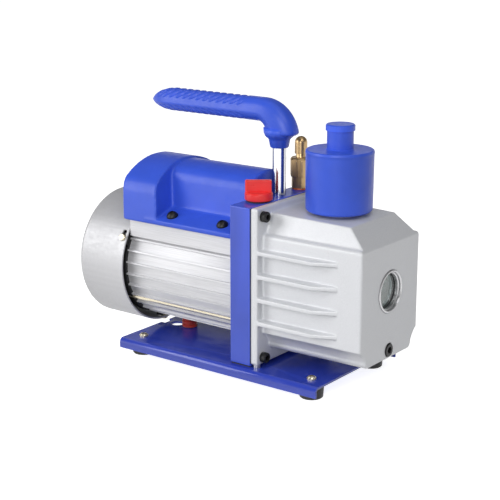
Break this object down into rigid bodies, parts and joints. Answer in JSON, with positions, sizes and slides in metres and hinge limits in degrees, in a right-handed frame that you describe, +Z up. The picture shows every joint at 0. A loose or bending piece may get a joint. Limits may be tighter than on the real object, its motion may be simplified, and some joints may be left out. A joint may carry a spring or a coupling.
{
  "type": "rotary vane vacuum pump",
  "caption": "Portable motor-driven rotary-vane vacuum pump with oil tank, sight glass, exhaust filter, capped inlet and carrying handle on a footed base.",
  "frame": {"origin": "on the floor under the middle of the pump's bounding box, at the underside of the feet", "axes": "+X from the fan cover towards the oil tank and sight glass, +Y towards the inlet side, +Z up"},
  "size_m": [0.289, 0.124, 0.2302],
  "materials": {
    "blue_paint": "gloss blue enamel on pressed steel",
    "blue_casting": "gloss blue enamel on a cast aluminium block",
    "blue_plastic": "moulded blue plastic, satin gloss",
    "silver_paint": "fine silver hammer paint on cast aluminium",
    "cowl_paint": "silver-grey paint on drawn steel",
    "extruded_aluminium": "bright extruded, lightly drawn",
    "cast_aluminium": "as cast",
    "black_casting": "black-painted aluminium casting",
    "black_steel": "black oxide",
    "zinc_steel": "yellow zinc plate",
    "steel": "machined",
    "cast_iron": "machined grey iron",
    "chrome": "polished",
    "brass": "machined, slightly dulled",
    "copper": "enamelled winding wire",
    "red_plastic": "moulded red plastic",
    "red_rubber": "dark red moulded rubber",
    "orange_rubber": "orange O-ring",
    "black_rubber": "moulded rubber",
    "black_plastic": "moulded black plastic",
    "white_plastic": "moulded, off white",
    "filter_felt": "wound filter felt",
    "glass": "clear sight glass"
  },
  "bodies": {
    "pump": {"base_plate": "blue_paint", "rubber_feet": "black_rubber", "foot_screws": "zinc_steel", "foot_nuts": "zinc_steel", "rear_bumper": "red_rubber", "pump_bracket": "blue_casting", "bracket_pad": "black_rubber", "bracket_bolts": "black_steel", "flange_studs": "steel", "motor_frame": "extruded_aluminium", "stator_core": "steel", "stator_windings": "copper", "bearing_outer_races": "steel", "bearing_balls": "chrome", "rear_endshield": "black_casting", "through_bolts": "zinc_steel", "fan_cover": "cowl_paint", "fan_cover_screws": "zinc_steel", "capacitor_cover": "blue_plastic", "cover_screws": "black_steel", "run_capacitor": "white_plastic", "capacitor_clip": "steel", "terminal_block": "black_plastic", "power_inlet": "black_plastic", "power_inlet_pins": "steel", "switch_housing": "black_plastic", "oil_tank": "silver_paint", "tank_gasket": "black_rubber", "tank_screws": "black_steel", "sight_glass": "glass", "tank_seals": "black_rubber", "sight_glass_ring": "steel", "ballast_seal": "black_rubber", "inlet_fitting": "brass", "inlet_o_ring": "orange_rubber", "inlet_body": "brass", "handle_post": "chrome", "handle_grip": "blue_plastic", "pump_end_plates": "cast_iron", "pump_cylinder": "cast_iron", "shaft_seal": "black_rubber", "module_bolts": "black_steel", "exhaust_reed": "steel", "reed_stop": "steel"},
    "rotor": {"motor_shaft": "steel", "motor_rotor": "steel", "bearing_inner_races": "steel", "cooling_fan": "black_plastic", "shaft_coupling": "steel", "pump_rotor": "steel", "vanes": "black_plastic", "vane_springs": "steel"},
    "ballast_valve": {"ballast_knob": "red_plastic"},
    "exhaust_filter": {"exhaust_filter_body": "blue_plastic", "filter_element": "filter_felt", "filter_seal": "black_rubber"},
    "exhaust_lid": {"exhaust_cap": "blue_plastic"},
    "inlet_lid": {"inlet_cap": "brass"},
    "oil_drain": {"drain_plug": "black_steel"},
    "power_switch": {"power_rocker": "black_plastic"}
  },
  "joints": [
    {"name": "drive_spin", "type": "hinge", "parent": "pump", "child": "rotor", "pos_m": [0, 0, 0.0762], "axis": [1, 0, 0], "continuous": true},
    {"name": "ballast_turn", "type": "hinge", "parent": "pump", "child": "ballast_valve", "pos_m": [0.0341, -0.029, 0.1512], "axis": [0, 0, 1], "range_deg": [0, 180]},
    {"name": "filter_lift", "type": "slide", "parent": "pump", "child": "exhaust_filter", "axis": [0, 0, 1], "range_m": [0, 0.03]},
    {"name": "exhaust_cap_lift", "type": "slide", "parent": "exhaust_filter", "child": "exhaust_lid", "axis": [0, 0, 1], "range_m": [0, 0.02]},
    {"name": "inlet_cap_lift", "type": "slide", "parent": "pump", "child": "inlet_lid", "axis": [0, 0, 1], "range_m": [0, 0.025]},
    {"name": "drain_plug_pull", "type": "slide", "parent": "pump", "child": "oil_drain", "axis": [1, 0, 0], "range_m": [0, 0.025]},
    {"name": "switch_tip", "type": "hinge", "parent": "pump", "child": "power_switch", "pos_m": [-0.0968, 0.024, 0.1475], "axis": [0, 0, 1], "range_deg": [0, 12]}
  ]
}
